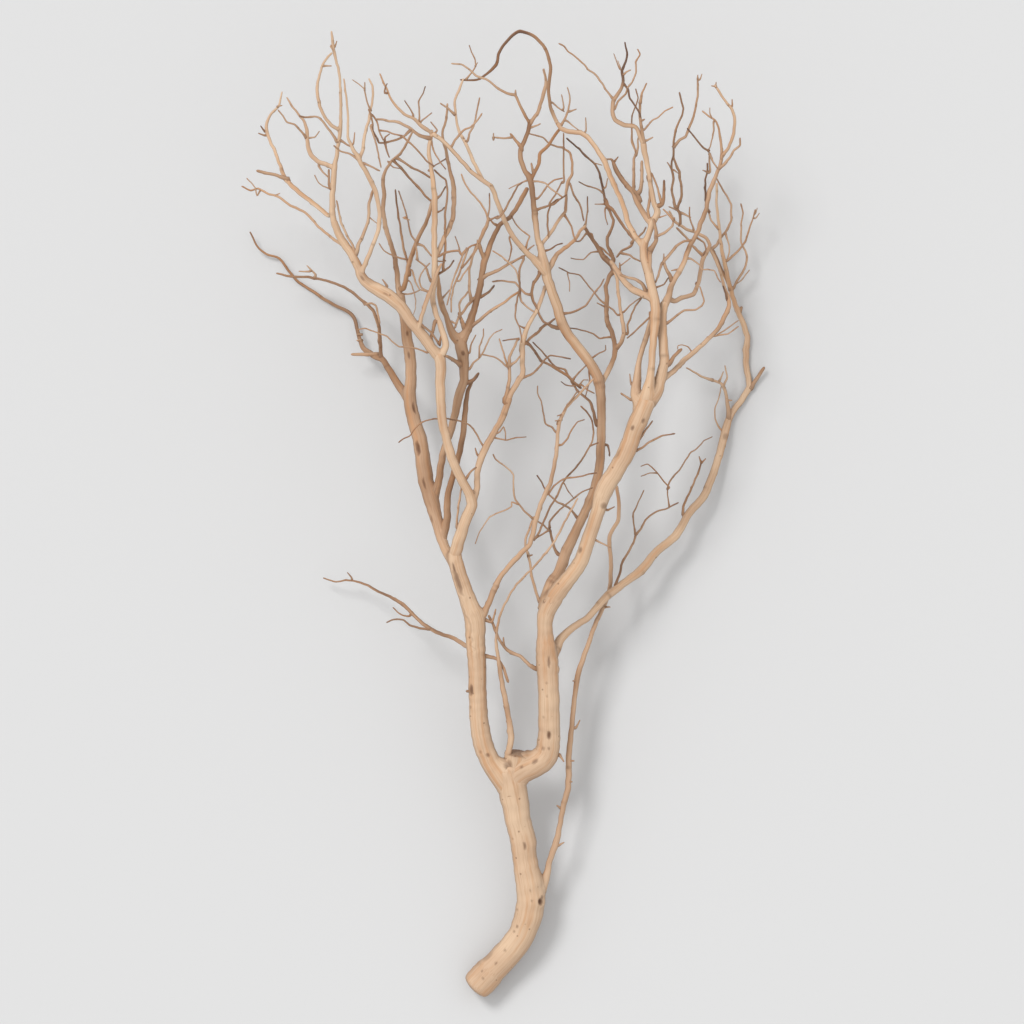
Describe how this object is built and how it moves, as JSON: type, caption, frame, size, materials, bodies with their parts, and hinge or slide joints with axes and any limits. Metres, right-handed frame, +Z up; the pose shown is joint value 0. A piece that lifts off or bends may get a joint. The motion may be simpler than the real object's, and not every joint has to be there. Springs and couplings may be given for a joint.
{
  "type": "fallen tree branch",
  "caption": "Bare weathered tree branch lying on its side, with a sawn butt, a forked stem and a fan of fine limbs and twigs.",
  "frame": {"origin": "on the surface that the branch lies on, under the middle of its outline", "axes": "+Y from the sawn butt to the crown, +Z up from the surface that it lies on"},
  "size_m": [0.511, 0.9682, 0.2025],
  "materials": {
    "wood_pale": "weathered, barkless and sand-smoothed",
    "wood_warm": "weathered, barkless and sand-smoothed",
    "wood_amber": "weathered, barkless and sand-smoothed",
    "wood_brown": "weathered, barkless and sand-smoothed"
  },
  "bodies": {
    "root": {"butt_stem": "wood_pale", "left_limb": "wood_pale", "right_limb": "wood_pale", "right_upper_limb": "wood_pale", "right_dark_limb": "wood_amber", "outer_right_limb": "wood_pale", "outer_right_leader": "wood_pale", "side_shoot": "wood_warm", "inner_shoot": "wood_warm", "left_inner_shoot": "wood_warm", "outer_left_limb": "wood_amber", "pale_left_limb": "wood_pale", "pale_left_arm": "wood_pale", "left_leader": "wood_pale", "left_bow": "wood_pale", "left_crook": "wood_warm", "left_wand": "wood_pale", "left_low_wand": "wood_warm", "outer_low_left_limb": "wood_brown", "outer_low_left_fork": "wood_brown", "low_left_twig": "wood_brown", "dark_left_branch": "wood_amber", "middle_left_strand": "wood_brown", "left_inner_limb": "wood_warm", "left_dark_shoot": "wood_amber", "left_slant_shoot": "wood_amber", "left_lean_shoot": "wood_pale", "left_lean_fork": "wood_pale", "crown_left_pole": "wood_pale", "crown_left_strand": "wood_warm", "crown_left_cross": "wood_warm", "crown_red_strand": "wood_amber", "inner_reach": "wood_brown", "inner_reach_fork": "wood_warm", "inner_right_limb": "wood_pale", "centre_trunk": "wood_pale", "centre_leader": "wood_brown", "centre_tip": "wood_warm", "centre_curl": "wood_warm", "centre_side": "wood_brown", "pale_diagonal": "wood_pale", "diagonal_spray": "wood_warm", "diagonal_side": "wood_pale", "centre_right_shoot": "wood_amber", "centre_right_arm": "wood_warm", "dark_riser": "wood_brown", "pale_riser": "wood_pale", "right_left_strand": "wood_warm", "right_middle_strand": "wood_pale", "right_outer_strand": "wood_pale", "right_leader": "wood_amber", "right_crook": "wood_pale", "right_low_arm": "wood_warm", "right_sweep": "wood_warm", "right_side_limb": "wood_warm", "right_fork_limb": "wood_pale", "right_hook": "wood_amber", "right_dark_strand": "wood_brown", "arch_limb": "wood_pale", "arch": "wood_brown"}
  },
  "joints": []
}
